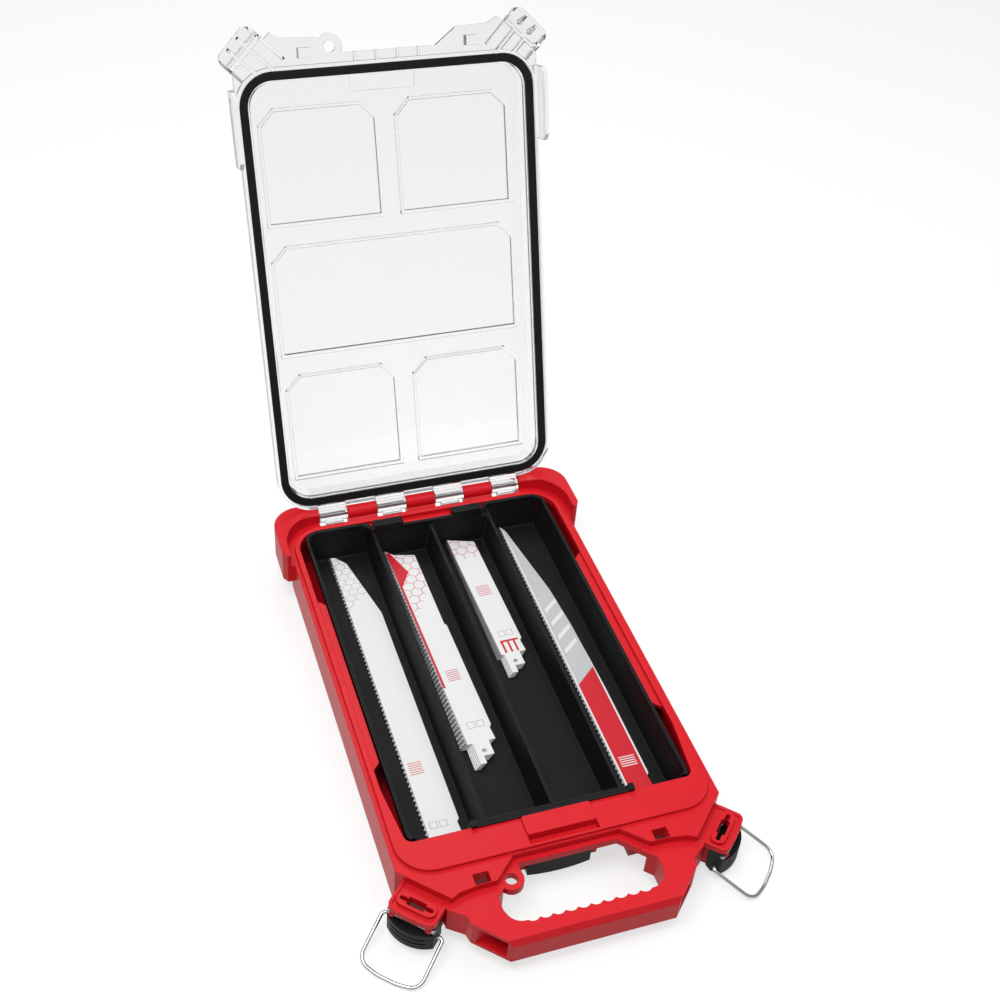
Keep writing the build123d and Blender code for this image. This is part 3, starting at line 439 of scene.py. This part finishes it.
def blade_places(bench, name, turn):
    """Millimetres from the tooth line towards the back, and from the tip towards the tang."""
    low, high = (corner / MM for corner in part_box(name))
    x, y, z = bench.place()
    right, back = x - low.x, high.y - y
    c, s = math.cos(math.radians(turn)), math.sin(math.radians(turn))
    return right * c - back * s, right * s + back * c


def hexagon_net(x, y, size, line):
    """1 on the lines of a net of hexagons, size millimetres across the flats."""
    tall = size * math.sqrt(3)
    reach = []
    for shift in (0.0, 0.5):
        near_x = abs((x + shift * size) % size - size / 2)
        near_y = abs((y + shift * tall) % tall - tall / 2)
        reach.append(near_x.most(near_x * 0.5 + near_y * (math.sqrt(3) / 2)))
    return reach[0].least(reach[1]) > size / 2 - line


def window(across, along, x0, x1, y0, y1):
    return (across > x0) * (across < x1) * (along > y0) * (along < y1)


def frame_of(across, along, x0, x1, y0, y1, line=0.35):
    """1 on the outline of a rectangle."""
    inner = window(across, along, x0 + line, x1 - line, y0 + line, y1 - line)
    return window(across, along, x0, x1, y0, y1) - inner


def stripes(across, along, *window_mm):
    """A block of fine stripes that lie across the blade."""
    return window(across, along, *window_mm) * ((along % STRIPE_PITCH) < STRIPE_WIDE)


def two_boxes(across, along, starts, wide, y0, y1):
    """Two outlined boxes side by side."""
    left, right = (frame_of(across, along, x, x + wide, y0, y1) for x in starts)
    return (left + right).clipped()


def blade_coat(name, turn, bare_band, paint):
    """A coat that paint() colours, with bare steel along the teeth and on the cut edges."""
    bench = Bench(name + "_coat")
    across, along = blade_places(bench, name, turn)
    facing = bench.node("ShaderNodeNewGeometry").outputs["Normal"]
    upward = Number(bench, bench.node("ShaderNodeSeparateXYZ", None, {0: facing}).outputs[2])
    bare = ((across < bare_band) + (abs(upward) < CUT_EDGE_SLOPE)).clipped()
    fine = bench.grain(0.3, 2.0, (1, 0.1, 1))
    colour = bench.mix(bare, paint(bench, across, along), BARE_STEEL)
    bench.surface(Base_Color=colour, Metallic=bare * 0.8, Roughness=fine * 0.12 + 0.36,
                  Specular_IOR_Level=0.3, Normal=bench.bump(fine, 0.008))
    dress([name], bench.material)


# %% The four printed coats
def coarse_print(bench, across, along):
    net = hexagon_net(across, along, 7.0, 0.25) * (along + across * 0.9 < 64) * (along > 3)
    colour = bench.mix(net, WHITE, PALE_GREY)
    lines = stripes(across, along, 4.5, 14.5, 217, 229)
    colour = bench.mix(lines, colour, PALE_RED)
    boxes = two_boxes(across, along, (5, 12), 5.5, 270.5, 276)
    return bench.mix(boxes, colour, MID_GREY)


def medium_print(bench, across, along):
    net = hexagon_net(across, along, NET_SIZE, NET_LINE) * (along + across * 1.6 < 88) * (across > 5)
    colour = bench.mix(net, WHITE, PALE_RED)
    wedge = (along > 3.0) * (across < 3.5 + along * 0.34) * (across < 31.0 - along * 0.62)
    strip = (across < 3.9) * (along > 30) * (along < 154)
    lines = stripes(across, along, 8, 18, 138, 149)
    colour = bench.mix(lines, colour, PALE_RED)
    colour = bench.mix((wedge + strip).clipped(), colour, PRINT_RED)
    boxes = two_boxes(across, along, (7.5, 14.5), 5.5, 190, 196)
    return bench.mix(boxes, colour, MID_GREY)


def fine_print(bench, across, along):
    net = hexagon_net(across, along, NET_SIZE, NET_LINE) * (along < 25)
    colour = bench.mix(net, WHITE, PALE_RED)
    lines = stripes(across, along, 5.5, 16.5, 57, 69)
    colour = bench.mix(lines, colour, PALE_RED)
    bars = window(across, along, 4.5, 19, 119, 132) * ((across % 4.8) < 1.7)
    cross = window(across, along, 4.5, 19, 119, 121)
    colour = bench.mix((bars + cross).clipped(), colour, PRINT_RED)
    boxes = two_boxes(across, along, (6, 12.5), 5, 109, 115)
    return bench.mix(boxes, colour, MID_GREY)


def carbide_print(bench, across, along):
    field = (across > 3.4) * (across < 20.6)
    colour = bench.mix(field, WHITE, FIELD_GREY)
    bars = window(across, along, 5.5, 18.5, 88, 150) * (((along + across * 0.8) % 15.0) < 4.0)
    colour = bench.mix(bars, colour, WHITE)
    red_part = field * (along + across * 0.86 > 184.8)
    colour = bench.mix(red_part, colour, PRINT_RED)
    lines = stripes(across, along, 6, 18, 253, 263)
    return bench.mix(lines, colour, WHITE)


COATS = {             # family: its print, the bare band along the teeth in mm, the stack's turn
    "blade_long_coarse": (coarse_print, 2.1, 0.0),
    "blade_medium": (medium_print, 2.1, FAN_TURN),
    "blade_short_fine": (fine_print, 1.1, FAN_TURN),
    "blade_long_carbide": (carbide_print, 2.0, 0.0),
}
for family, (paint, bare_band, turn) in COATS.items():
    group = sorted(name for name in nodes if name.startswith(family))
    for k, name in enumerate(group):
        blade_coat(name, k * turn, bare_band, paint)
    print(family, len(group), "coated")
